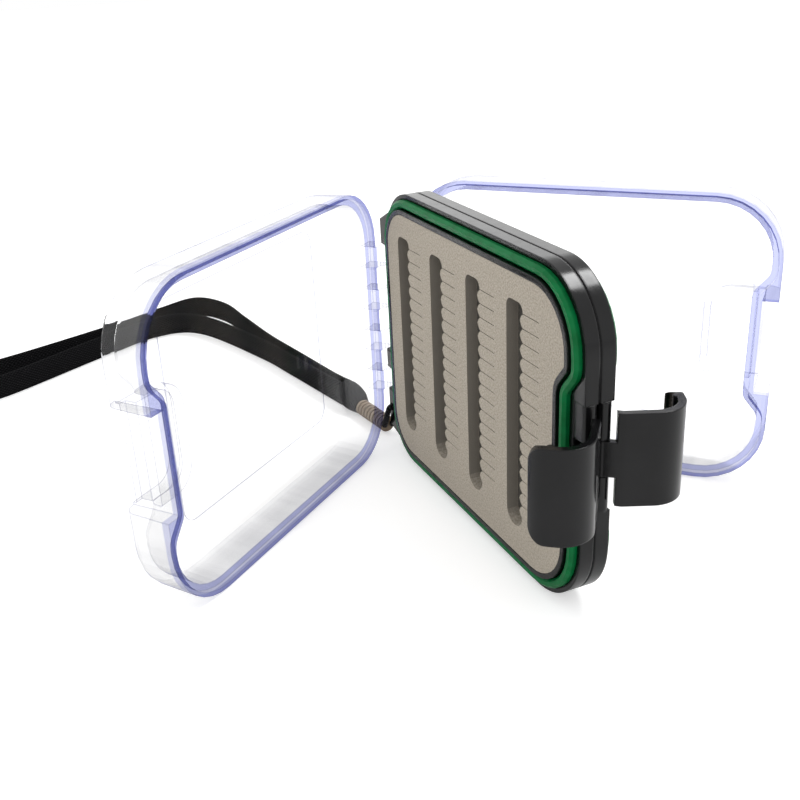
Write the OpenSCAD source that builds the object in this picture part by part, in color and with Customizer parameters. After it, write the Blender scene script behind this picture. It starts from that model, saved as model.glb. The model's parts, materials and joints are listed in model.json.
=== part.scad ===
// Double-sided fly box: a two-part black frame that carries a slit foam sheet on each face,
// a clear lid hinged on each face, a swinging latch for each lid and a neck lanyard.
// The box stands on its long lower edge. +X points to the latches, -Y to the front face.
// The origin is the middle of the frame's lower edge, in the plane where its halves meet.

/* [Frame] */
// Width of the frame, from hinge side to latch side
frame_w = 97; // [92:1:110]
// Height of the frame
frame_h = 78; // [76:1:92]
// Thickness of each frame half at its rim
half_t = 3.5; // [3.3:0.1:4.5]
// Corner radius on the latch side
corner_r = 17; // [14:0.5:19]
// Corner radius on the hinge side
hinge_corner_r = 15; // [13:0.5:17]
// Depth of the hollow moulded round the line where the halves meet
seam_relief = 0.25; // [0.1:0.05:0.4]
// Height of the lip round the foam above the rim
lip_rise = 1.95; // [1.5:0.05:2.3]
// Thickness of the lip
lip_t = 1.2; // [1:0.1:1.6]
// Depth of the relief along the hinge side, behind the lid hooks
hinge_relief = 0.6; // [0.3:0.1:0.8]

/* [Seal] */
// Diameter of the rubber ring
ring_d = 2.4; // [2:0.1:2.6]
// Width of the rim outside the ring groove
rim_land = 1.1; // [0.9:0.1:1.4]
// Depth of the groove that the ring lies in
groove_depth = 0.8; // [0.3:0.05:1]
// Space on each side of the ring
ring_gap = 0.1; // [0.08:0.01:0.15]

/* [Foam] */
// Thickness of the foam sheet
foam_t = 3; // [2:0.1:3.2]
// Thickness of the backing sheet under the foam
backing_t = 1.2; // [1:0.1:1.4]
// Space between the sheets and the lip
sheet_gap = 0.1; // [0.05:0.05:0.3]
// Distance from one slot to the next
slot_pitch = 19.1; // [18:0.1:20]
// Width of a slot
slot_w = 7; // [5:0.5:8]
// Distance from the foam's hinge edge to the first slot
slot_start = 6.7; // [5:0.1:8]
// Distance from the foam's lower edge to the slots
slot_low = 7.2; // [6:0.1:10]
// Least distance from the foam's upper edge to the slots
slot_high = 5.5; // [5:0.1:10]
// Radius of the corners at a slot's upper end
slot_top_r = 2; // [1.5:0.1:2.5]
// Distance from one lobe to the next
lobe_pitch = 3.3; // [3:0.1:3.7]
// Depth of the lobes
lobe_depth = 1.2; // [0.4:0.1:1.4]
// Length of the slits that hold the hooks
slit_len = 6.5; // [4:0.5:7]
// Width of a slit
slit_w = 0.2; // [0.15:0.05:0.4]

/* [Lids] */
// Depth of a lid
lid_depth = 13.1; // [12:0.1:16]
// Thickness of the lid walls
lid_wall = 2.5; // [2:0.1:3]
// Thickness of the lid floor
lid_floor = 1.8; // [1.4:0.1:2]
// Depth of the step in the lid rim that covers the ring
rebate_depth = 1.75; // [1.7:0.05:2.6]
// Running gap between a lid and the frame
rim_gap = 0.05; // [0.03:0.01:0.1]
// Radius round the outer edge of a lid
lid_round = 3; // [2:0.1:4]
// Lean of the lid walls
lid_draft = 0.5; // [0.2:0.1:0.8]
// Depth of the window panel pressed into the lid floor
window_depth = 0.3; // [0.1:0.05:0.5]
// Distance from the frame's edge to the window panel, on the hinge side
window_side = 12.7; // [10:0.1:16]
// Distance from the lower edge to the window panel
window_low = 12; // [10:0.5:16]
// Distance from the upper edge to the window panel
window_high = 10; // [8:0.5:16]
// Space between the window panel and the finger pocket
window_gap = 0.6; // [0.4:0.1:2]
// Radius of the window panel's corners
window_r = 4; // [2:0.5:6]
// Depth of the finger pocket behind the latch bar
pocket_depth = 4; // [3:0.1:4.5]
// Width of the finger pocket
pocket_w = 11.5; // [10:0.1:14]
// Height of the finger pocket
pocket_h = 24; // [23:0.1:24.5]
// Wall of the finger pocket
pocket_wall = 1.5; // [1.2:0.1:2]
// Thickness of the bar that the latch hooks over
bar_t = 1.9; // [1.6:0.1:2.3]
// Drop of the bar below the lid's outer face
bar_drop = 1; // [0.6:0.1:1.6]
// Angle at which the front lid stands open
lid_front_open = 51.1; // [30:0.1:90]
// Angle at which the back lid stands open
lid_back_open = 42.5; // [30:0.1:90]

/* [Hinge] */
// Diameter of the hinge pins and latch pins
pin_d = 1.6; // [1.2:0.1:1.7]
// Running clearance round a pin, on the radius
pin_clear = 0.05; // [0.02:0.01:0.09]
// Distance of the hinge pins from the frame's edge
hinge_out = 3.9; // [3.5:0.1:4.5]
// Number of hooks on each lid
hook_count = 4; // [2:1:4]
// Distance from one hook to the next
hook_pitch = 12.3; // [11:0.1:12.6]
// Height of a hook
hook_h = 5.9; // [4.5:0.1:6.5]
// Play between hooks, ears and lug
hook_gap = 0.6; // [0.4:0.1:0.9]
// Reach of a hook down the lid's wall
hook_reach = 4.9; // [4:0.1:6]
// Width of the mouth of a hook
hook_mouth = 1.2; // [0.8:0.1:1.4]
// Depth of a hinge pin in each ear
pin_seat = 3; // [2:0.1:4]
// Height of an ear beside the pin
ear_h = 9; // [7:0.1:10]
// Angle through which an ear's outer corner turns before its slope
ear_turn = 50; // [40:5:60]
// Radius of the lanyard eye in the lower ear
eye_r = 1.2; // [1:0.1:1.4]

/* [Latches] */
// Height of the notch for the latches
notch_h = 25.2; // [25:0.1:27]
// Depth of the notch
notch_in = 4; // [3.6:0.1:4.4]
// Height of a latch
latch_h = 21.2; // [20:0.1:22]
// Height of the knuckle on a latch
knuckle_h = 8; // [6:0.1:10]
// Play on each side of a knuckle
knuckle_gap = 0.3; // [0.2:0.05:0.5]
// Distance of the latch pins from the frame's edge
latch_in = 1.2; // [1:0.1:1.4]
// Thickness of a latch
latch_t = 1.7; // [1.4:0.1:2]
// Distance from a latch pin to the outer face of its latch
latch_out = 2.8; // [2.4:0.1:3]
// Height above the pin at which the arm of a latch has spread to its outer face
latch_flare = 4; // [3.5:0.1:5]
// Outer radius of the bend of a latch
latch_bend_r = 7; // [5.5:0.1:7.5]
// Gap between a closed latch and the lid's outer face
latch_over = 0.95; // [0.7:0.05:1.1]
// Distance from the pin to the start of the curled end
latch_flat = 6; // [5.5:0.1:6.5]
// Outer radius of the curled end
curl_r = 5; // [4.5:0.1:5.5]
// Angle of the curled end
curl_angle = 50; // [40:1:52]
// Radius of the ridge inside a latch
ridge_r = 0.7; // [0.4:0.05:0.8]
// Radius of the corners at the curled end
latch_corner_r = 3.5; // [2:0.1:5]
// Angle at which the front latch stands open
latch_front_open = 51; // [25:1:70]
// Angle at which the back latch stands open
latch_back_open = 25; // [25:1:70]

/* [Lanyard] */
// Width of the flat lace, which stands on its edge
lace_w = 8; // [6:0.5:9]
// Thickness of the lace
lace_t = 1.6; // [1.2:0.1:2]
// Diameter of the thin cord through the eye
cord_d = 1.6; // [1.2:0.1:1.8]
// Length of the ribbed sleeve
sleeve_len = 15.8; // [13:0.1:17]
// Outer radius of the ribbed sleeve
sleeve_r = 2.5; // [2.2:0.1:2.8]
// Number of ribs on the sleeve
rib_count = 9; // [5:1:10]
// Radius of the knot that joins the lace ends
knot_r = 4.2; // [3.8:0.1:4.6]
// Length of the knot
knot_len = 10; // [8:0.5:12]
// Outer radius of the coil
coil_r = 43.5; // [40:0.5:48]
// Amount that the coil winds inwards
coil_in = 4.5; // [4:0.1:6]
// Turns in the coil
coil_turns = 1.5;

/* [Hidden] */
$fn = 48;

black = [0.05, 0.05, 0.055];
steel = [0.6, 0.6, 0.62];
green = [0.0, 0.38, 0.18];
taupe = [0.5, 0.47, 0.43];
dark_taupe = [0.3, 0.28, 0.26];
clear = [0.8, 0.82, 0.9, 0.45];
tan_brown = [0.45, 0.36, 0.28];

half_w = frame_w / 2;
mid_h = frame_h / 2;
pin_r = pin_d / 2;
bore_r = pin_r + pin_clear;
// The pins lie in the middle of each half, so that front and back pieces pass each other
pin_y = half_t / 2;
back_gap = 0.15;
barrel_r = pin_y - back_gap;
hinge_x = -half_w - hinge_out;
latch_x = half_w - latch_in;
bar_x = half_w - notch_in;

// The ring, the lip and the sheets follow the case outline, each at its own inset
ring_r = ring_d / 2;
ring_inset = rim_land + ring_gap + ring_r;
lip_inset = ring_inset + ring_r + ring_gap;
pocket_inset = lip_inset + lip_t;
sheet_inset = pocket_inset + sheet_gap;
ring_depth = half_t - groove_depth + back_gap / 3 + ring_r;
lip_top = half_t + lip_rise;
foam_top = lip_top - 0.05;
foam_low = foam_top - foam_t;
backing_low = foam_low - backing_t;

// Step of the outline past the notch: an outer arc, a slope and an inner arc
step_out_r = 6;
step_in_r = 1;
step_angle = 40;
step_arcs = step_out_r + step_in_r;
step_inner = notch_h / 2 + 0.3;
step_outer = step_inner + (step_arcs - (step_arcs - notch_in) * cos(step_angle)) / sin(step_angle);

// Depths in the lid, measured from the plane where the halves meet
lid_low = half_t + rim_gap;
lid_top = half_t + lid_depth;
lid_inside = lid_top - lid_floor;
inner_round = 2;

hook_span = (hook_count - 1) * hook_pitch + hook_h + 2 * hook_gap;
ear_low = mid_h - hook_span / 2;
ear_high = mid_h + hook_span / 2;
ear_reach = barrel_r + 0.2;
eye_x = hinge_x + 0.8;
eye_z = ear_low - 5.5;

knuckle_low = mid_h - knuckle_h / 2;
notch_low = mid_h - notch_h / 2;
latch_low = mid_h - latch_h / 2;
pin_end = 0.5;
// A closed latch reaches over the lid's outer face
latch_top = lid_top + latch_over + latch_t - pin_y;
tip_r = latch_t / 2;
tip_x = -latch_flat - (curl_r - tip_r) * sin(curl_angle) - tip_r;

// The slots fill the foam between its edges; the slits of the last one end short of the notch
slots_x = -half_w + sheet_inset + slot_start;
slots_z = sheet_inset + slot_low;
slit_end = 3;
slot_room = bar_x - sheet_inset - slit_end - slots_x - slot_w - slit_len;
slot_count = floor(slot_room / slot_pitch) + 1;
slot_end_r = slot_w / 2;
lobe_room = frame_h - 2 * sheet_inset - slot_low - slot_high - slot_end_r - slot_top_r;
lobe_count = floor(lobe_room / lobe_pitch);

pocket_x = bar_x - bar_t - pocket_w;
window_x = -half_w + window_side;
window_w = pocket_x - pocket_wall - window_gap - window_x;
window_h = frame_h - window_low - window_high;

// ---------- helpers ----------

// Points along an arc
function arc(c, r, a0, a1, n) =
    [for (i = [0 : n]) let (a = a0 + (a1 - a0) * i / n) [c[0] + r * cos(a), c[1] + r * sin(a)]];

// Outline of the case face moved in by d, with the step past the notch
function outline(d, stepped = true) = concat(
    arc([half_w - corner_r, corner_r], corner_r - d, -90, 0, 8),
    stepped ? step_points(d) : [],
    arc([half_w - corner_r, frame_h - corner_r], corner_r - d, 0, 90, 8),
    arc([-half_w + hinge_corner_r, frame_h - hinge_corner_r], hinge_corner_r - d, 90, 180, 8),
    arc([-half_w + hinge_corner_r, hinge_corner_r], hinge_corner_r - d, 180, 270, 8));

function step_points(d) = concat(
    arc([half_w - step_out_r, mid_h - step_outer], step_out_r - d, 0, step_angle, 3),
    arc([bar_x + step_in_r, mid_h - step_inner], step_in_r + d, 180 + step_angle, 180, 3),
    arc([bar_x + step_in_r, mid_h + step_inner], step_in_r + d, 180, 180 - step_angle, 3),
    arc([half_w - step_out_r, mid_h + step_outer], step_out_r - d, -step_angle, 0, 3));

function unit(v) = v / norm(v);

// Places a piece drawn on the face plane (x, height, depth) on the front face
module front() {
    rotate([90, 0, 0]) children();
}

module back() {
    mirror([0, 1, 0]) front() children();
}

// Sheet drawn on the face plane, from one depth to another
module sheet(low, high) {
    translate([0, 0, low]) linear_extrude(high - low) children();
}

// Profile drawn in x and depth, extruded along the height
module bar(low, high) {
    translate([0, high, 0]) rotate([90, 0, 0]) linear_extrude(high - low) children();
}

// Turns a front piece about an upright pin
module swung(x, angle) {
    translate([x, -pin_y, 0]) rotate([0, 0, angle]) translate([-x, pin_y, 0]) children();
}

// Solid between rings of points, each ring counter-clockwise seen from the last one
module skin(rings, closed = false) {
    n = len(rings);
    m = len(rings[0]);
    sides = [for (i = [0 : n - (closed ? 1 : 2)], j = [0 : m - 1])
        let (a = i * m + j, b = i * m + (j + 1) % m)
        let (c = ((i + 1) % n) * m + j, d = ((i + 1) % n) * m + (j + 1) % m)
        each [[a, c, b], [b, c, d]]];
    first = [for (j = [0 : m - 1]) j];
    last = [for (j = [m - 1 : -1 : 0]) (n - 1) * m + j];
    polyhedron([for (r = rings) each r], closed ? sides : concat(sides, [first, last]), 8);
}

// Smooth curve through a route, with n steps from one point to the next
function curve(p, n) = let (k = len(p) - 1)
    concat([for (i = [0 : k - 1], s = [0 : n - 1])
        blend(p[max(i - 1, 0)], p[i], p[i + 1], p[min(i + 2, k)], s / n)], [p[k]]);

function blend(a, b, c, d, t) =
    (2 * b + (c - a) * t + (2 * a - 5 * b + 4 * c - d) * t * t
    + (3 * b - a - 3 * c + d) * t * t * t) / 2;

function along(p, i) = unit(p[min(i + 1, len(p) - 1)] - p[max(i - 1, 0)]);

// Rings of a lace or cord of the given width and thickness along a route
function rings_along(p, wide, thick, sides) = [for (i = [0 : len(p) - 1])
    let (t = along(p, i), s = unit(cross([0, 0, 1], t)), u = cross(t, s))
    [for (j = [0 : sides - 1]) let (a = -(j + 0.5) * 360 / sides)
        p[i] + s * thick / 2 * cos(a) / cos(180 / sides)
            + u * wide / 2 * sin(a) / (sides % 4 == 0 ? cos(180 / sides) : 1)]];

// ---------- frame ----------

module rounded_plate(d) {
    for (z = [corner_r, frame_h - corner_r])
        translate([half_w - corner_r, z]) circle(corner_r - d);
    for (z = [hinge_corner_r, frame_h - hinge_corner_r])
        translate([-half_w + hinge_corner_r, z]) circle(hinge_corner_r - d);
    polygon([[half_w - corner_r, d], [half_w - corner_r, corner_r], [half_w - d, corner_r],
        [half_w - d, frame_h - corner_r], [half_w - corner_r, frame_h - corner_r],
        [half_w - corner_r, frame_h - d], [-half_w + hinge_corner_r, frame_h - d],
        [-half_w + hinge_corner_r, frame_h - hinge_corner_r],
        [-half_w + d, frame_h - hinge_corner_r], [-half_w + d, hinge_corner_r],
        [-half_w + hinge_corner_r, hinge_corner_r], [-half_w + hinge_corner_r, d]]);
}

// Ears and lug that carry the hinge pin, as tall as the frame half is thick
module ears(d) {
    out = hinge_x - ear_reach + d;
    corner = 3;
    polygon(concat([[-half_w + 6, ear_high + d], [out, ear_high + d]],
        arc([out + corner, ear_high + ear_h / 2], corner, 180, 180 - ear_turn, 4),
        [[-half_w + 6, ear_high + ear_h + 3]]));
    polygon(concat([[-half_w + 6, ear_low - ear_h - 5]],
        arc([out + corner, ear_low - ear_h], corner, 180 + ear_turn, 180, 4),
        [[out, ear_low - d], [-half_w + 6, ear_low - d]]));
    lug_h = hook_pitch - hook_h - 2 * hook_gap - 2 * d;
    translate([out, mid_h - (hook_count / 2 - 1) * hook_pitch - lug_h / 2])
        square([-half_w + 2 - out, lug_h]);
}

module frame_outline(d) {
    difference() {
        rounded_plate(d);
        translate([-half_w - 1, ear_low]) square([1 + hinge_relief + d, ear_high - ear_low]);
        translate([bar_x - d, notch_low - d]) square([notch_in + 1, notch_h + 2 * d]);
    }
    ears(d);
}

module outline_ring(outer, inner) {
    difference() {
        polygon(outline(outer));
        polygon(outline(inner));
    }
}

module frame_knuckle(low, high) {
    bar(low, high) {
        translate([latch_x, pin_y]) circle(barrel_r);
        translate([bar_x - 1, back_gap]) square([latch_x - bar_x + 1, 2 * barrel_r]);
    }
}

module upright_bore(x, r, low, high) {
    translate([x, high, pin_y]) rotate([90, 0, 0]) cylinder(r = r, h = high - low);
}

module frame_half() {
    difference() {
        union() {
            sheet(0, seam_relief) {
                frame_outline(seam_relief);
                // The hollow stops at the lower edge, so that both halves stand flat
                translate([-half_w + hinge_corner_r, 0])
                    square([frame_w - corner_r - hinge_corner_r, 1]);
            }
            sheet(seam_relief, half_t) frame_outline(0);
            sheet(half_t - 1, lip_top) polygon(outline(lip_inset));
            frame_knuckle(notch_low, knuckle_low - knuckle_gap);
            frame_knuckle(mid_h + knuckle_h / 2 + knuckle_gap, notch_low + notch_h);
        }
        sheet(backing_low, lip_top + 1) polygon(outline(pocket_inset));
        sheet(half_t - groove_depth, half_t + 1) outline_ring(rim_land, lip_inset);
        upright_bore(hinge_x, bore_r, ear_low - pin_seat - 0.2, ear_high + pin_seat + 0.2);
        upright_bore(latch_x, bore_r, notch_low + pin_end, notch_low + notch_h - pin_end);
        translate([eye_x, eye_z, -1]) cylinder(r = eye_r, h = half_t + 2);
        // The outer sides of the ears and the lug are round about the pin
        bar(0, frame_h) difference() {
            translate([hinge_x - 2 * ear_reach, -1]) square([2 * ear_reach, half_t + 2]);
            translate([hinge_x, pin_y]) circle(pin_y + 0.1);
        }
    }
}

module frame_front_half() {
    color(black) front() frame_half();
}

module frame_back_half() {
    color(black) back() frame_half();
}

// ---------- seal, backing and foam ----------

module seal() {
    path = outline(ring_inset);
    n = len(path);
    skin([for (i = [0 : n - 1])
        let (t = unit(path[(i + 1) % n] - path[(i + n - 1) % n]), s = [t[1], -t[0]])
        [for (k = [0 : 7]) let (a = k * 45 + 22.5)
            [path[i][0] + s[0] * ring_r * cos(a), path[i][1] + s[1] * ring_r * cos(a),
             ring_depth + ring_r * sin(a)]]], closed = true);
}

module seal_front() {
    color(green) front() seal();
}

module seal_back() {
    color(green) back() seal();
}

module backing() {
    sheet(backing_low, foam_low) polygon(outline(sheet_inset));
}

module backing_front() {
    color(dark_taupe) front() backing();
}

module backing_back() {
    color(dark_taupe) back() backing();
}

// One slot: a straight side, and a side of lobes with a slit behind each upper valley
module slot() {
    top = slot_end_r + lobe_count * lobe_pitch;
    polygon(concat(
        arc([slot_end_r, slot_end_r], slot_end_r, 180, 360, 10),
        [for (i = [0 : lobe_count - 1]) let (low = slot_end_r + i * lobe_pitch) each concat(
            [for (s = [0.2, 0.5, 0.8])
                [slot_w - lobe_depth * sin(180 * s), low + s * (lobe_pitch - slit_w)]],
            [[slot_w, low + lobe_pitch - slit_w],
             [slot_w + slit_len, low + lobe_pitch - slit_w],
             [slot_w + slit_len, low + lobe_pitch]],
            i < lobe_count - 1 ? [[slot_w, low + lobe_pitch]] : [])],
        arc([slot_w - slot_top_r, top], slot_top_r, 0, 90, 5),
        arc([slot_top_r, top], slot_top_r, 90, 180, 5)));
}

module foam() {
    sheet(foam_low, foam_top) difference() {
        polygon(outline(sheet_inset));
        for (i = [0 : slot_count - 1])
            translate([slots_x + i * slot_pitch, slots_z]) slot();
    }
}

module foam_front() {
    color(taupe) front() foam();
}

module foam_back() {
    color(taupe) back() foam();
}

// ---------- lids ----------

module window_outline() {
    translate([window_x + window_r, window_low]) square([window_w - 2 * window_r, window_h]);
    translate([window_x, window_low + window_r]) square([window_w, window_h - 2 * window_r]);
    for (x = [window_r, window_w - window_r], z = [window_r, window_h - window_r])
        translate([window_x + x, window_low + z]) circle(window_r);
}

module pocket_outline(grow) {
    w = pocket_w + 2 * grow;
    h = pocket_h + 2 * grow;
    r = 5 + grow;
    translate([pocket_x - grow, mid_h - h / 2]) {
        translate([r, 0]) square([w - r, h]);
        translate([0, r]) square([r + 1, h - 2 * r]);
        for (y = [r, h - r])
            translate([r, y]) circle(r);
    }
}

function at_depth(points, z) = [for (p = points) [p[0], p[1], z]];

// Closed outer form of a lid: leaning walls and a rounded edge
module lid_block() {
    skin(concat([at_depth(outline(0, false), lid_low)],
        [for (a = [0, 22.5, 45, 67.5, 90])
            at_depth(outline(lid_draft + lid_round * (1 - cos(a)), false),
                lid_top - lid_round * (1 - sin(a)))]));
}

// Hollow of a lid, with the step past the notch
module lid_hollow() {
    skin(concat([at_depth(outline(lid_wall), lid_low - 1)],
        [for (a = [0, 30, 60, 90])
            at_depth(outline(lid_wall + lid_draft + inner_round * (1 - cos(a))),
                lid_inside - inner_round * (1 - sin(a)))]));
}

// Hook that wraps the hinge pin, with its mouth towards the frame
module hook(low) {
    bar(low, low + hook_h) difference() {
        union() {
            translate([hinge_x, pin_y]) circle(barrel_r);
            translate([hinge_x - barrel_r, pin_y])
                square([2 * barrel_r, lid_low + hook_reach - pin_y]);
            translate([hinge_x, lid_low]) square([hinge_out + 1.2, hook_reach]);
        }
        translate([hinge_x, pin_y]) circle(bore_r);
        translate([hinge_x, pin_y - hook_mouth / 2]) square([barrel_r + 1, hook_mouth]);
    }
}

module lid() {
    difference() {
        lid_block();
        difference() {
            lid_hollow();
            sheet(lid_top - pocket_depth - pocket_wall, lid_top) pocket_outline(pocket_wall);
        }
        sheet(lid_low - 1, half_t + rebate_depth) polygon(outline(rim_land));
        sheet(lid_low - 1, lid_top + 1)
            translate([bar_x, notch_low]) square([notch_in + 1, notch_h]);
        sheet(lid_top - pocket_depth, lid_top + 1) pocket_outline(0);
        sheet(lid_top - bar_drop, lid_top + 1)
            translate([bar_x - bar_t - 1, mid_h - pocket_h / 2]) square([bar_t + 2, pocket_h]);
        sheet(lid_top - window_depth, lid_top + 1) window_outline();
    }
    for (i = [0 : hook_count - 1])
        hook(mid_h + (i - (hook_count - 1) / 2) * hook_pitch - hook_h / 2);
}

module lid_front() {
    color(clear) swung(hinge_x, -lid_front_open) front() lid();
}

module lid_back() {
    color(clear) mirror([0, 1, 0]) swung(hinge_x, -lid_back_open) front() lid();
}

// ---------- pins ----------

module pin(x, low, high) {
    upright_bore(x, pin_r, low, high);
}

module hinge_pin() {
    pin(hinge_x, ear_low - pin_seat, ear_high + pin_seat);
}

module latch_pin() {
    pin(latch_x, notch_low + pin_end + 0.2, notch_low + notch_h - pin_end - 0.2);
}

module hinge_pin_front() {
    color(steel) front() hinge_pin();
}

module hinge_pin_back() {
    color(steel) back() hinge_pin();
}

module latch_pin_front() {
    color(steel) front() latch_pin();
}

module latch_pin_back() {
    color(steel) back() latch_pin();
}

// ---------- latches ----------

// Quarter or smaller part of a round band
module band(r, thick, a0, a1) {
    intersection() {
        difference() {
            circle(r);
            circle(r - thick);
        }
        polygon(concat([[0, 0]], arc([0, 0], 2 * r, a0, a1, 3)));
    }
}

// Section of a closed latch, with the pin at the origin and the reach upwards
module latch_section() {
    bend_x = latch_out - latch_bend_r;
    polygon([[barrel_r - latch_t, 0], [barrel_r, 0], [latch_out, latch_flare],
        [latch_out, latch_top - latch_bend_r], [latch_out - latch_t, latch_top - latch_bend_r],
        [latch_out - latch_t, latch_flare]]);
    translate([bend_x, latch_top - latch_bend_r]) band(latch_bend_r, latch_t, 0, 90);
    translate([-latch_flat, latch_top - latch_t]) square([bend_x + latch_flat, latch_t]);
    translate([-latch_flat, latch_top - curl_r]) {
        band(curl_r, latch_t, 90, 90 + curl_angle);
        rotate([0, 0, 90 + curl_angle]) translate([curl_r - tip_r, 0]) circle(tip_r);
    }
    translate([-latch_flat + 0.4, latch_top - latch_t]) circle(ridge_r);
}

// Face of the latch's tab, with round corners at the curled end
module latch_face() {
    end_x = tip_x + 0.1;
    for (z = [latch_low + latch_corner_r, latch_low + latch_h - latch_corner_r])
        translate([end_x + latch_corner_r, z]) circle(latch_corner_r);
    translate([end_x, latch_low + latch_corner_r])
        square([latch_corner_r + 1, latch_h - 2 * latch_corner_r]);
    translate([end_x + latch_corner_r, latch_low])
        square([latch_out + 1 - end_x - latch_corner_r, latch_h]);
}

module latch() {
    difference() {
        union() {
            intersection() {
                bar(latch_low, latch_low + latch_h)
                    translate([latch_x, pin_y]) latch_section();
                sheet(0, latch_top + pin_y + 1) translate([latch_x, 0]) latch_face();
            }
            bar(knuckle_low, knuckle_low + knuckle_h) translate([latch_x, pin_y]) circle(barrel_r);
        }
        for (z = [latch_low - 1, knuckle_low + knuckle_h])
            bar(z, z + knuckle_low - latch_low + 1)
                translate([latch_x - 2, 0]) square([latch_out + 3, pin_y + barrel_r + 1]);
        upright_bore(latch_x, bore_r, latch_low, latch_low + latch_h);
    }
}

module latch_front() {
    color(black) swung(latch_x, latch_front_open) front() latch();
}

module latch_back() {
    color(black) mirror([0, 1, 0]) swung(latch_x, latch_back_open) front() latch();
}

// ---------- lanyard ----------

sleeve_end = [-58.3, -2.4, 2.6];
sleeve_way = unit([-15.6, -2, 0]);
knot_start = sleeve_end + sleeve_way * sleeve_len;
knot_end = knot_start + sleeve_way * knot_len + [0, 0, 1.6];

// The thin cord: out of the sleeve, through the eye and back
cord_route = [[-58.3, -3.3, 2.6], [-57, -4, 3.4], [-54, -4.6, 6.5], [-51.9, -4.8, 9.8],
    [-51.6, -4.2, 11.4], [-51.6, -3, 11.6], [-51.6, 0, 11.6], [-51.6, 3, 11.6],
    [-51.6, 4.2, 11.4], [-51.9, 4.7, 9.8], [-54, 4.6, 6.4], [-57, 0.4, 3.3], [-58.3, -1.5, 2.6]];

// The lace: two strands from the knot to the coil
upper_route = [[-84, -4.3, 4.1], [-92, -6.4, 4.1], [-116, -10.6, 4.1], [-138, -14.4, 4.1],
    [-162, -17, 4.1], [-183, -19.5, 4.1], [-196, -28, 4.1], [-191, -43, 4.1], [-182, -61, 4.1],
    [-165, -107, 4.1], [-166, -120, 4.1], [-180, -138, 4.1], [-192, -153, 4.1],
    [-195.5, -170, 4.1]];
lower_route = [[-84, -7.6, 4.1], [-91, -9, 4.1], [-116, -14, 4.1], [-138, -19, 4.1],
    [-174, -32, 4.1], [-180, -48, 4.1], [-169, -71, 4.1], [-147, -109, 4.4],
    [-142, -119, 8], [-136, -126, 12.6], [-128, -134, 12.6], [-120, -142, 9],
    [-114, -153, 4.6], [-113, -170, 4.1]];
coil_x = -152;
coil_y = -170;

module lanyard_cord() {
    color(black) skin(rings_along(curve(cord_route, 2), cord_d, cord_d, 8));
}

module lanyard_sleeve() {
    rib = sleeve_len / rib_count;
    color(tan_brown) translate(sleeve_end) rotate([0, 0, atan2(sleeve_way[1], sleeve_way[0])])
        rotate([0, 90, 0]) {
            cylinder(r = sleeve_r - 0.4, h = sleeve_len);
            for (i = [0 : rib_count - 1])
                translate([0, 0, (i + 0.2) * rib]) cylinder(r = sleeve_r, h = rib * 0.6);
        }
}

module lanyard_knot() {
    color(black) skin([for (t = [0 : 0.125 : 1])
        let (c = knot_start + sleeve_way * knot_len * t + [0, 0, 1.6 * sin(90 * t)])
        let (r = 2.4 + (knot_r - 2.4) * sin(90 * min(1, 1.5 * t)))
        [for (j = [0 : 15]) let (a = -j * 22.5)
            [c[0], c[1] + r * cos(a), max(c[2] + r * sin(a), 0.05)]]]);
}

module lanyard_strand_upper() {
    color(black) skin(rings_along(curve(upper_route, 3), lace_w, lace_t, 8));
}

module lanyard_strand_lower() {
    color(black) skin(rings_along(curve(lower_route, 3), lace_w, lace_t, 8));
}

// The coil winds inwards from the upper strand's end to the lower strand's end
coil_steps = 24 * coil_turns;
coil_path = [for (i = [0 : coil_steps]) let (a = 180 + 360 * coil_turns * i / coil_steps)
    let (r = coil_r - coil_in * i / coil_steps)
    [coil_x + r * cos(a), coil_y + r * sin(a), 4.1]];

module lanyard_coil() {
    color(black) skin(rings_along(coil_path, lace_w, lace_t, 6));
}

coil_gaps = [for (i = [0 : len(coil_path) - 1], k = [i + 18 : 1 : len(coil_path) - 1])
    norm(coil_path[i] - coil_path[k]) - lace_t / cos(30)];
echo(coil_least_gap = min(coil_gaps));

function route_length(p) = len(p) < 2 ? 0 : norm(p[1] - p[0])
    + route_length([for (i = [1 : 1 : len(p) - 1]) p[i]]);
echo(lace_length = route_length(curve(upper_route, 3)) + route_length(curve(lower_route, 3))
    + route_length(coil_path));

frame_front_half();
frame_back_half();
seal_front();
seal_back();
backing_front();
backing_back();
foam_front();
foam_back();
lid_front();
lid_back();
hinge_pin_front();
hinge_pin_back();
latch_front();
latch_back();
latch_pin_front();
latch_pin_back();
lanyard_cord();
lanyard_sleeve();
lanyard_knot();
lanyard_strand_upper();
lanyard_strand_lower();
lanyard_coil();
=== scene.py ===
"""Looks of the double-sided fly box: finishes for its rigid pieces, the woven lace and the studio.

Blender works in metres. A section that names its values in other units says so in its heading."""
import json
import math

import bpy
from mathutils import Matrix, Vector


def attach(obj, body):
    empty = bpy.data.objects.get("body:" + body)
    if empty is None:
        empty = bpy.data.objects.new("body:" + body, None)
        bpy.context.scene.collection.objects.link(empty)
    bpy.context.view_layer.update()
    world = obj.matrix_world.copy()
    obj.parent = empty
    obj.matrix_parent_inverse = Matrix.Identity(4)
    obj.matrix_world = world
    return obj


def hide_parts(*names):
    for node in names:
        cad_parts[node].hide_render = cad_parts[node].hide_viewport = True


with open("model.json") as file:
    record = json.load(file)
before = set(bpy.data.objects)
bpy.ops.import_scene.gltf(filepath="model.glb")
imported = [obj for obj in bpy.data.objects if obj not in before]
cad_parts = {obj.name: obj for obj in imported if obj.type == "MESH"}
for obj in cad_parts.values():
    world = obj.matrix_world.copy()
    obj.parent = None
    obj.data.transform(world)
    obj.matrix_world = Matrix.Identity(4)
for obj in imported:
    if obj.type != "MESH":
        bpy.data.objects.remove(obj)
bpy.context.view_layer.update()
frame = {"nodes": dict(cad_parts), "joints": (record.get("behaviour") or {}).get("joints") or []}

MM = 0.001


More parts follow.
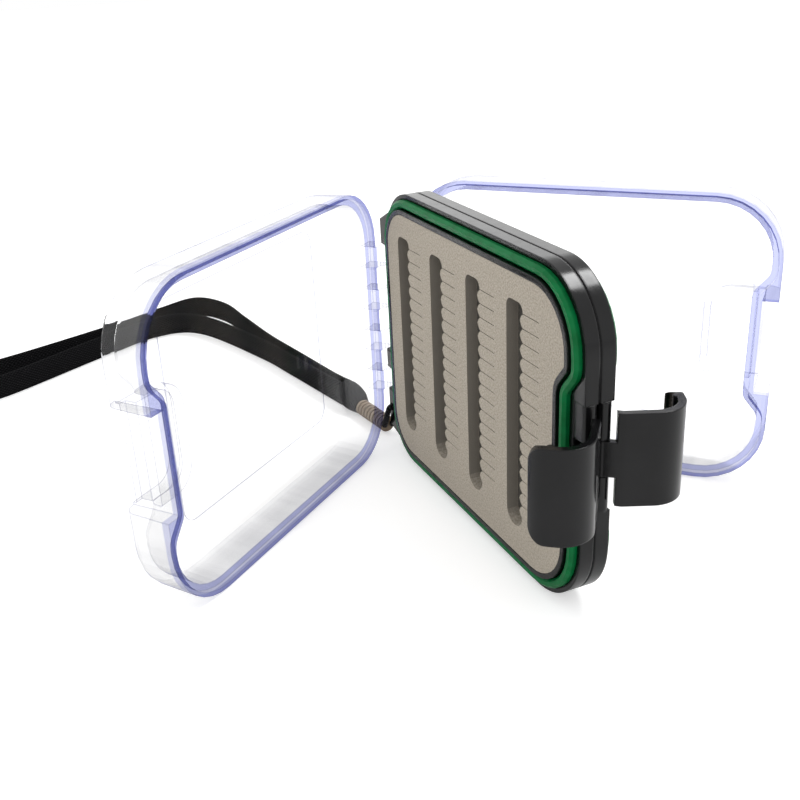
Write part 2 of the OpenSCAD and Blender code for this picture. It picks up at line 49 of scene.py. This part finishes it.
# ---------- camera: metres, degrees, and millimetres for the lens ----------

CAMERA_PLACE = (0.20224, -0.10782, 0.13789)
CAMERA_YAW = -67.14
CAMERA_PITCH = -24.38
CAMERA_ROLL = -2.93
CAMERA_LENS = 45.92
CAMERA_SENSOR = 36
CAMERA_NEAREST = 0.01


def make_camera():
    """Camera at the photograph's place: yaw from +Y, pitch from level, roll about the view axis."""
    yaw, pitch, roll = (math.radians(a) for a in (CAMERA_YAW, CAMERA_PITCH, CAMERA_ROLL))
    look = Vector((math.sin(yaw) * math.cos(pitch), math.cos(yaw) * math.cos(pitch), math.sin(pitch)))
    level = Vector((math.cos(yaw), -math.sin(yaw), 0))
    upright = level.cross(look)
    right = level * math.cos(roll) + upright * math.sin(roll)
    up = upright * math.cos(roll) - level * math.sin(roll)
    data = bpy.data.cameras.new("camera")
    data.lens = CAMERA_LENS
    data.sensor_width = CAMERA_SENSOR
    data.clip_start = CAMERA_NEAREST
    camera = bpy.data.objects.new("camera", data)
    turn = Matrix((right, up, -look)).transposed().to_4x4()
    camera.matrix_world = Matrix.Translation(CAMERA_PLACE) @ turn
    bpy.context.scene.collection.objects.link(camera)
    bpy.context.scene.camera = camera


# ---------- lace: millimetres and degrees ----------------------------------------

LACE_WIDTH = 8
LACE_THICK = 1.6
LACE_HEIGHT = 4.1
UPPER_ROUTE = [(-84, -4.3, 4.1), (-92, -6.4, 4.1), (-116, -10.6, 4.1), (-138, -14.4, 4.1),
               (-162, -17, 4.1), (-183, -19.5, 4.1), (-196, -28, 4.1), (-191, -43, 4.1),
               (-182, -61, 4.1), (-165, -107, 4.1), (-166, -120, 4.1), (-180, -138, 4.1),
               (-192, -153, 4.1), (-195.5, -170, 4.1)]
LOWER_ROUTE = [(-84, -7.6, 4.1), (-91, -9, 4.1), (-116, -14, 4.1), (-138, -19, 4.1),
               (-174, -32, 4.1), (-180, -48, 4.1), (-169, -71, 4.1), (-147, -109, 4.4),
               (-142, -119, 8), (-136, -126, 12.6), (-128, -134, 12.6), (-120, -142, 9),
               (-114, -153, 4.6), (-113, -170, 4.1)]
ROUTE_STEPS = 10
COIL_CENTRE = (-152, -170)
COIL_RADIUS = 43.5
COIL_IN = 4.5
COIL_TURNS = 1.5
COIL_START = 180
COIL_STEPS_PER_TURN = 60
SECTION_POINTS = 16
SECTION_POWERS = (0.55, 0.8)


def curve_through(route):
    """Smooth curve through the route's points: a Catmull-Rom spline."""
    points = [Vector(p) for p in route]
    last = len(points) - 1
    made = []
    for i in range(last):
        a, b, c, d = points[max(i - 1, 0)], points[i], points[i + 1], points[min(i + 2, last)]
        for s in range(ROUTE_STEPS):
            t = s / ROUTE_STEPS
            made.append((2 * b + (c - a) * t + (2 * a - 5 * b + 4 * c - d) * t ** 2
                         + (3 * b - a - 3 * c + d) * t ** 3) / 2)
    return made + [points[last]]


def coil_points():
    """The coil, wound inwards from the upper strand's end to the lower strand's end."""
    count = int(COIL_TURNS * COIL_STEPS_PER_TURN)
    made = []
    for i in range(count + 1):
        angle = math.radians(COIL_START + 360 * COIL_TURNS * i / count)
        radius = COIL_RADIUS - COIL_IN * i / count
        made.append(Vector((COIL_CENTRE[0] + radius * math.cos(angle),
                            COIL_CENTRE[1] + radius * math.sin(angle), LACE_HEIGHT)))
    return made


def flat_section():
    """Section of the lace as (across, up) in -1..1. Powers under 1 square a circle off."""
    made = []
    for k in range(SECTION_POINTS):
        angle = 2 * math.pi * (k + 0.5) / SECTION_POINTS
        made.append(tuple(math.copysign(abs(v) ** power, v)
                          for v, power in zip((math.cos(angle), math.sin(angle)), SECTION_POWERS)))
    return made


def band_rings(points, section):
    """The section set out at each point. The lace stands on its edge, with its width upright."""
    last = len(points) - 1
    rings = []
    for i, p in enumerate(points):
        way = (points[min(i + 1, last)] - points[max(i - 1, 0)]).normalized()
        side = Vector((0, 0, 1)).cross(way).normalized()
        up = way.cross(side)
        rings.append([p + side * (LACE_THICK / 2 * a) + up * (LACE_WIDTH / 2 * b)
                      for a, b in section])
    return rings


def tube_faces(rings, points):
    """Faces of a tube with that many rings of that many points: its walls, then its two ends."""
    faces = [(i * points + j, i * points + (j + 1) % points,
              (i + 1) * points + (j + 1) % points, (i + 1) * points + j)
             for i in range(rings - 1) for j in range(points)]
    faces.append(tuple(range(points))[::-1])
    faces.append(tuple((rings - 1) * points + j for j in range(points)))
    return faces


def lengths_to(points):
    """Length of the way from the first point to each one."""
    lengths = [0.0]
    for a, b in zip(points, points[1:]):
        lengths.append(lengths[-1] + (b - a).length)
    return lengths


def map_band(mesh, points, ring):
    """UV map of the tube's walls, in millimetres along the lace and round it."""
    along = lengths_to(points)
    around = lengths_to(ring + ring[:1])
    layer = mesh.uv_layers.new(name="lace")
    for face in mesh.polygons[:-2]:
        i, j = divmod(face.index, len(ring))
        corners = ((i, j), (i, j + 1), (i + 1, j + 1), (i + 1, j))
        for loop, (at, step) in zip(face.loop_indices, corners):
            layer.data[loop].uv = (along[at], around[step])


def make_band(name, points):
    """Smooth mesh tube along the points, with the lace's section."""
    section = flat_section()
    rings = band_rings(points, section)
    mesh = bpy.data.meshes.new(name)
    mesh.from_pydata([v * MM for ring in rings for v in ring], [],
                     tube_faces(len(rings), len(section)))
    map_band(mesh, points, rings[0])
    mesh.polygons.foreach_set("use_smooth", [True] * len(mesh.polygons))
    mesh.update()
    piece = bpy.data.objects.new(name, mesh)
    bpy.context.scene.collection.objects.link(piece)
    return piece


def make_lace():
    """The lanyard's loop in one piece: out along the upper strand, round the coil and back."""
    upper = curve_through(UPPER_ROUTE)
    lower = curve_through(LOWER_ROUTE)
    route = upper + coil_points()[1:] + lower[::-1][1:]
    lace = make_band("lace", route)
    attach(lace, "frame")
    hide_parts("lanyard_strand_upper", "lanyard_strand_lower", "lanyard_coil")
    return lace


# ---------- materials: noise scales per metre, bump distances and edge radii in metres ----------

# The darkest and the lightest tone of each finish.
BLACK = (0.002, 0.002, 0.0025), (0.006, 0.006, 0.0065)
GREEN = (0.0005, 0.11, 0.027), (0.001, 0.165, 0.045)
STEEL = (0.45, 0.45, 0.46), (0.62, 0.62, 0.63)
TAN = (0.20, 0.145, 0.095), (0.33, 0.25, 0.17)
# For the braid and the cord, the dark tone is partly painted shade in the gaps between yarns and
# ribs.
BRAID = (0.001, 0.001, 0.0013), (0.013, 0.013, 0.014)
CORD = (0.003, 0.003, 0.0035), (0.02, 0.02, 0.022)

# Foam: its two tones, its specks, and the painted shade on the walls of its cuts, but for those that
# face up.
TAUPE = {"dark": (0.33, 0.295, 0.24), "light": (0.51, 0.455, 0.38),
         "speck": (0.20, 0.175, 0.145), "cut_shade": (0.22, 0.20, 0.17)}
# The slot floor: the backing's foam, painted dark to stand for the shade down in the slots.
SHADED_SLOT_FLOOR = {"dark": (0.065, 0.06, 0.052), "light": (0.095, 0.087, 0.076),
              "speck": (0.05, 0.045, 0.04), "cut_shade": (0.065, 0.06, 0.052)}

# Lids: the clear body, the painted grey shade streaked on its walls, the rim, and the painted dark
# shade of its sharp edges.
CLEAR = (0.99, 0.99, 0.99)
WALL_SHADE_GREY = (0.45, 0.45, 0.48)
VIOLET = (0.20, 0.22, 0.50)
DARK_EDGE_SHADE = (0.13, 0.14, 0.28)

# Most of a noise's values lie between these two.
NOISE_MIDDLE = (0.3, 0.7)

# Cosine between the rounded and the true normal of a shape, on an edge and away from it.
EDGE_COSINES = (0.8, 0.97)
BEVEL_SAMPLES = 8

# The Mix node's sockets for colours, which share their names with those for numbers.
MIX_COLOURS = (6, 7)
MIX_RESULT = 2


class Finish:
    """A node material with one Principled shader, and short calls that add nodes to it."""

    def __init__(self, name, **inputs):
        self.material = bpy.data.materials.new(name)
        self.material.use_nodes = True
        self.tree = self.material.node_tree
        self.shader = next(n for n in self.tree.nodes if n.type == "BSDF_PRINCIPLED")
        for key, value in inputs.items():
            self.shader.inputs[key.replace("_", " ")].default_value = value

    def node(self, kind, **settings):
        """New node, with its properties and inputs set by name."""
        made = self.tree.nodes.new(kind)
        for key, value in settings.items():
            if hasattr(made, key) and key not in made.inputs:
                setattr(made, key, value)
            else:
                made.inputs[key.replace("_", " ")].default_value = value
        return made

    def link(self, source, target):
        """Join an output socket to an input socket."""
        self.tree.links.new(source, target)

    def place(self, kind="Object"):
        """Texture coordinate of that kind."""
        return self.node("ShaderNodeTexCoord").outputs[kind]

    def math(self, operation, a, b=None):
        """Maths on sockets or numbers."""
        made = self.node("ShaderNodeMath", operation=operation)
        for socket, value in zip(made.inputs, (a, b)):
            if isinstance(value, (int, float)):
                socket.default_value = value
            elif value is not None:
                self.link(value, socket)
        return made.outputs[0]

    def times(self, a, *others):
        """Product of sockets or numbers."""
        for b in others:
            a = self.math("MULTIPLY", a, b)
        return a

    def vector(self, operation, a, b):
        """Vector maths on a socket and a vector: a number from a dot product, else a vector."""
        made = self.node("ShaderNodeVectorMath", operation=operation)
        self.link(a, made.inputs[0])
        if isinstance(b, bpy.types.NodeSocket):
            self.link(b, made.inputs[1])
        else:
            made.inputs[1].default_value = tuple(b)
        return made.outputs["Value" if operation == "DOT_PRODUCT" else "Vector"]

    def edges(self, radius):
        """1 near the sharp edges of the shape, 0 elsewhere."""
        rounded = self.node("ShaderNodeBevel", Radius=radius, samples=BEVEL_SAMPLES).outputs[0]
        plain = self.node("ShaderNodeNewGeometry").outputs["Normal"]
        return self.ramp(self.vector("DOT_PRODUCT", rounded, plain), EDGE_COSINES, (1, 0))

    def noise(self, scale, detail=4, place=None):
        """Noise from 0 to 1, by the object's own coordinates unless a place is given."""
        made = self.node("ShaderNodeTexNoise", Scale=scale, Detail=detail)
        self.link(place or self.place(), made.inputs["Vector"])
        return made.outputs["Fac"]

    def vary(self, scale, low, high, detail=4):
        """Patches that go from low to high."""
        return self.ramp(self.noise(scale, detail), NOISE_MIDDLE, (low, high))

    def ramp(self, value, reads, gives):
        """The value, taken from one range to another and held at its ends."""
        made = self.node("ShaderNodeMapRange")
        self.link(value, made.inputs["Value"])
        made.inputs["From Min"].default_value, made.inputs["From Max"].default_value = reads
        made.inputs["To Min"].default_value, made.inputs["To Max"].default_value = gives
        return made.outputs["Result"]

    def mix(self, value, low, high):
        """Colour between two colours or sockets."""
        made = self.node("ShaderNodeMix", data_type="RGBA")
        self.link(value, made.inputs[0])
        for socket, colour in zip(MIX_COLOURS, (low, high)):
            if isinstance(colour, tuple):
                made.inputs[socket].default_value = (*colour, 1)
            else:
                self.link(colour, made.inputs[socket])
        return made.outputs[MIX_RESULT]

    def bump(self, height, distance, strength, edge=0):
        """Bumps from a height. edge rounds the look of sharp edges by that radius."""
        made = self.node("ShaderNodeBump", Strength=strength, Distance=distance)
        self.link(height, made.inputs["Height"])
        if edge:
            self.link(self.node("ShaderNodeBevel", Radius=edge).outputs[0], made.inputs["Normal"])
        self.link(made.outputs["Normal"], self.shader.inputs["Normal"])

    def set(self, key, value):
        """Give one of the shader's inputs a socket."""
        self.link(value, self.shader.inputs[key])


def black_plastic():
    """Moulded black plastic with a satin gloss, faint flow marks and softened edges."""
    f = Finish("black_plastic", IOR=1.38)
    f.set("Base Color", f.mix(f.vary(90, 0, 1, detail=6), *BLACK))
    f.set("Roughness", f.vary(400, 0.13, 0.22, detail=3))
    f.bump(f.noise(2600, detail=2), distance=0.00001, strength=0.4, edge=0.0005)
    return f.material


def green_rubber():
    """Green sealing rubber with a dull shine."""
    f = Finish("green_rubber", Specular_IOR_Level=0.14)
    f.set("Base Color", f.mix(f.vary(300, 0, 1), *GREEN))
    f.set("Roughness", f.vary(900, 0.28, 0.42))
    f.bump(f.noise(1500), distance=0.00003, strength=0.5)
    return f.material


# Painted highlight along the foam's sharp cut edges: its radius in metres, and its share.
FOAM_HIGHLIGHT_RADIUS = 0.00025
FOAM_EDGE_HIGHLIGHT = 0.5


def foam_sheet(name, dark, light, speck, cut_shade):
    """Closed-cell foam: fine grain and small specks, with a painted highlight along its sharp edges
    and painted shade on the walls of its cuts, which are darker than the sheet.
    """
    f = Finish(name, Specular_IOR_Level=0.25)
    split = f.node("ShaderNodeSeparateXYZ")
    f.link(f.place("Normal"), split.inputs[0])
    face = f.ramp(f.math("ABSOLUTE", split.outputs["Y"]), (0.4, 0.7), (0, 1))
    upward = f.ramp(split.outputs["Z"], (0.2, 1.0), (0, 1))
    grain = f.mix(f.ramp(f.noise(2400, detail=3), (0.35, 0.65), (0, 1)), dark, light)
    speckled = f.mix(f.ramp(f.noise(3800, detail=2), (0.62, 0.72), (0, 0.4)), grain, speck)
    # The walls of the cuts, but for those that face up, take the painted cut shade.
    sheet = f.mix(face, f.mix(upward, cut_shade, speckled), speckled)
    # Painted highlight along the sharp edges.
    f.set("Base Color", f.mix(f.times(f.edges(FOAM_HIGHLIGHT_RADIUS), FOAM_EDGE_HIGHLIGHT), sheet, light))
    f.set("Roughness", f.vary(500, 0.82, 0.95))
    cells = f.node("ShaderNodeTexVoronoi", Scale=2600)
    f.link(f.place(), cells.inputs["Vector"])
    f.bump(cells.outputs["Distance"], distance=0.00006, strength=0.5)
    return f.material


# Places on a lid, in millimetres from its hinge pin: the rim's levels towards the frame, and
# the hooks' reach along the lid. The rim's tint fades out over RIM_FADE.
RIM_LOW = -3.9
RIM_HIGH = -1.5
RIM_FADE = 0.3
HOOKS_END = 3.0

# Shares of the lids' tints: the rim's on the walls beside it, the outline's, and the painted shade of
# the sharp edges.
RIM_ON_WALLS = 0.7
OUTLINE_SHARE = 0.6
LID_EDGE_SHADE_SHARE = 0.7
LID_EDGE_RADIUS = 0.0007

# Streaks of the walls' painted shade: their noise scale, and how far they are drawn out.
STREAK_SCALE = 160
STREAK_STRETCH = 8


def lid_ways(hinge, side):
    """The pin's place, and the ways from it towards the rim and along the lid, as it rests."""
    joint = next(j for j in frame["joints"] if j["name"] == hinge)
    # The front lid shuts at its joint's upper stop, the back lid at its lower one.
    shut = math.radians(joint["range_deg"][1 if side < 0 else 0])
    to_rim = Vector((-math.sin(shut) * side, -math.cos(shut) * side, 0))
    along = Vector((-side * to_rim.y, side * to_rim.x, 0))
    return Vector(joint["pos_m"]), to_rim, along


def rim_tint(f, pin, to_rim, along, facing):
    """1 on the rim's faces, a little less on the walls beside them, 0 on the rest of the lid."""
    from_pin = f.vector("SUBTRACT", f.place(), pin)
    level = f.vector("DOT_PRODUCT", from_pin, to_rim / MM)
    reach = f.vector("DOT_PRODUCT", from_pin, along / MM)
    return f.times(f.ramp(level, (RIM_LOW, RIM_LOW + RIM_FADE), (0, 1)),
                   f.ramp(level, (RIM_HIGH, RIM_HIGH + RIM_FADE), (1, 0)),
                   f.ramp(reach, (HOOKS_END, HOOKS_END + RIM_FADE), (0, 1)),
                   f.ramp(facing, (0.3, 0.9), (RIM_ON_WALLS, 1)))


def wall_shade_streaks(f, to_rim):
    """Streaks for the walls' painted shade, drawn out along the way in which the lid left its mould.
    """
    stretched = f.node("ShaderNodeMapping", vector_type="TEXTURE", Scale=(STREAK_STRETCH, 1, 1),
                       Rotation=(0, 0, math.atan2(to_rim.y, to_rim.x)))
    f.link(f.place(), stretched.inputs["Vector"])
    noise = f.noise(STREAK_SCALE, detail=2, place=stretched.outputs[0])
    return f.ramp(noise, (0.3, 0.75), (0.5, 1))


def clear_plastic(name, hinge, side):
    """Clear moulded plastic of the lid on one side: -1 front, 1 back.

    The body hardly bends light, so that the walls stay clear, and the coat gives the gloss.
    The rim shows violet. The moulding's sharp edges get dark violet lines of painted shade, and the
    walls streaks of painted grey shade, strongest where they are seen edge-on."""
    f = Finish(name, IOR=1.003, Coat_Weight=0.25, Coat_IOR=1.45, Coat_Roughness=0.02)
    pin, to_rim, along = lid_ways(hinge, side)
    facing = f.vector("DOT_PRODUCT", f.place("Normal"), to_rim)
    wall = f.ramp(f.math("ABSOLUTE", facing), (0.5, 0.95), (1, 0))
    glance = f.node("ShaderNodeLayerWeight", Blend=0.5).outputs["Facing"]
    outline = f.times(f.ramp(glance, (0.75, 1.0), (0, OUTLINE_SHARE)), wall)
    tint = f.math("MAXIMUM", rim_tint(f, pin, to_rim, along, facing), outline)
    # Painted grey shade on the walls: streaked, and strongest where they are seen edge-on.
    painted_wall_shade = f.times(wall_shade_streaks(f, to_rim), f.ramp(glance, (0.2, 0.8), (0.2, 1)), wall)
    body = f.mix(tint, f.mix(painted_wall_shade, CLEAR, WALL_SHADE_GREY), VIOLET)
    # Dark violet lines of painted shade along the sharp edges.
    f.set("Base Color", f.mix(f.times(f.edges(LID_EDGE_RADIUS), LID_EDGE_SHADE_SHARE), body, DARK_EDGE_SHADE))
    f.set("Transmission Weight", f.ramp(wall, (0, 1), (0.995, 0.95)))
    f.set("Roughness", f.ramp(wall, (0, 1), (0.02, 0.12)))
    return f.material


def pin_steel():
    """Plain steel of the hinge and latch pins."""
    f = Finish("pin_steel", Metallic=1.0)
    f.set("Base Color", f.mix(f.noise(700), *STEEL))
    f.set("Roughness", f.vary(1200, 0.22, 0.38))
    return f.material


def sleeve_plastic():
    """Tan plastic of the ribbed sleeve."""
    f = Finish("sleeve_plastic", IOR=1.48)
    f.set("Base Color", f.mix(f.vary(500, 0, 1), *TAN))
    f.set("Roughness", f.vary(800, 0.4, 0.6))
    f.bump(f.noise(1500), distance=0.00004, strength=0.5)
    return f.material


# Millimetres from yarn to yarn, along the lace and round it.
YARN_ALONG = 1.5
YARN_ROUND = 1.0


def woven_lace():
    """Flat black braid: slanted yarns that cross, from the lace's own millimetres. The yarns' tops
    are lighter and the gaps between them darker, as painted shade.
    """
    f = Finish("woven_lace", Specular_IOR_Level=0.02)
    split = f.node("ShaderNodeSeparateXYZ")
    f.link(f.place("UV"), split.inputs[0])
    along = f.times(split.outputs["X"], math.pi / YARN_ALONG)
    around = f.times(split.outputs["Y"], math.pi / YARN_ROUND)
    one = f.math("ABSOLUTE", f.math("SINE", f.math("ADD", along, around)))
    two = f.math("ABSOLUTE", f.math("SINE", f.math("SUBTRACT", along, around)))
    fibre = f.noise(4000, detail=2)
    height = f.math("ADD", f.times(one, two), f.times(fibre, 0.25))
    # Lighter on the yarns' tops, darker as painted shade in the gaps between them.
    f.set("Base Color", f.mix(f.ramp(height, (0.1, 0.9), (0, 1)), *BRAID))
    f.set("Roughness", f.ramp(fibre, NOISE_MIDDLE, (0.55, 0.8)))
    f.bump(height, distance=0.0003, strength=0.8)
    return f.material


def twisted_cord():
    """Thin black cord and its knot: fine slanted ribs, darker between them as painted shade."""
    f = Finish("twisted_cord", Specular_IOR_Level=0.12)
    wave = f.node("ShaderNodeTexWave", bands_direction="DIAGONAL", Scale=380, Distortion=3.0)
    f.link(f.place(), wave.inputs["Vector"])
    # The ribs' grooves are darker, as painted shade.
    f.set("Base Color", f.mix(wave.outputs["Fac"], *CORD))
    f.set("Roughness", f.vary(2500, 0.55, 0.8))
    f.bump(wave.outputs["Fac"], distance=0.0002, strength=0.7)
    return f.material


def dress_nodes():
    """Give each CAD node that shows its finish."""
    black = black_plastic()
    green = green_rubber()
    foam = foam_sheet("taupe_foam", **TAUPE)
    # The backing shows only down in the slots; its finish is painted dark as their shade.
    floor = foam_sheet("slot_floor_shade", **SHADED_SLOT_FLOOR)
    pins = pin_steel()
    cord = twisted_cord()
    finishes = {
        "frame_front_half": black, "frame_back_half": black,
        "latch_front": black, "latch_back": black,
        "seal_front": green, "seal_back": green,
        "foam_front": foam, "foam_back": foam,
        "backing_front": floor, "backing_back": floor,
        "lid_front": clear_plastic("clear_lid_front", "lid_front_hinge", -1),
        "lid_back": clear_plastic("clear_lid_back", "lid_back_hinge", 1),
        "hinge_pin_front": pins, "hinge_pin_back": pins,
        "latch_pin_front": pins, "latch_pin_back": pins,
        "lanyard_cord": cord, "lanyard_knot": cord,
        "lanyard_sleeve": sleeve_plastic(),
    }
    for name, finish in finishes.items():
        for slot in frame["nodes"][name].material_slots:
            slot.material = finish


# ---------- studio: metres and watts ----------

FLOOR_REACH = 3.0
FLOOR_LEVEL = -0.0003
FLOOR_GREY = (0.8, 0.8, 0.8, 1)
FLOOR_LIFT = 0.46
WHITE = (1, 1, 1, 1)
LAMPS = {
    "key": {"place": (0.0, 0.33, 0.58), "target": (0.04, 0, 0.07), "size": (0.25, 0.15),
            "power": 1.8},
    "soft_box": {"place": (-0.75, 0.5, 0.33), "target": (0, 0, 0.07), "size": (0.8, 0.3),
                 "power": 0.6},
}


def make_floor():
    """Pale floor that keeps the shadow. Seen direct or through the lids it is lifted to white."""
    corners = [(FLOOR_REACH * x, FLOOR_REACH * y, FLOOR_LEVEL)
               for x, y in ((-1, -1), (1, -1), (1, 1), (-1, 1))]
    mesh = bpy.data.meshes.new("floor")
    mesh.from_pydata(corners, [], [(0, 1, 2, 3)])
    floor = bpy.data.objects.new("floor", mesh)
    bpy.context.scene.collection.objects.link(floor)
    f = Finish("pale_floor", Base_Color=FLOOR_GREY, Roughness=0.9, Specular_IOR_Level=0.1,
               Emission_Color=WHITE)
    path = f.node("ShaderNodeLightPath")
    seen = f.math("MAXIMUM", path.outputs["Is Camera Ray"], path.outputs["Is Transmission Ray"])
    f.set("Emission Strength", f.times(seen, FLOOR_LIFT))
    mesh.materials.append(f.material)


def make_world():
    """Even white light from all round."""
    world = bpy.data.worlds.new("studio")
    world.use_nodes = True
    world.node_tree.nodes["Background"].inputs["Color"].default_value = WHITE
    bpy.context.scene.world = world


def area_light(name, place, target, size, power):
    """Lamp that faces its target, and shows in glossy surfaces alone."""
    data = bpy.data.lights.new(name, "AREA")
    data.shape = "RECTANGLE"
    data.size, data.size_y = size
    data.energy = power
    light = bpy.data.objects.new(name, data)
    turn = (Vector(target) - Vector(place)).to_track_quat("-Z", "Y").to_matrix().to_4x4()
    light.matrix_world = Matrix.Translation(place) @ turn
    light.visible_camera = False
    light.visible_transmission = False
    bpy.context.scene.collection.objects.link(light)


bpy.context.scene.view_settings.view_transform = "Standard"
make_camera()
lace = make_lace()
lace.data.materials.append(woven_lace())
dress_nodes()
make_floor()
make_world()
for lamp, settings in LAMPS.items():
    area_light(lamp, **settings)
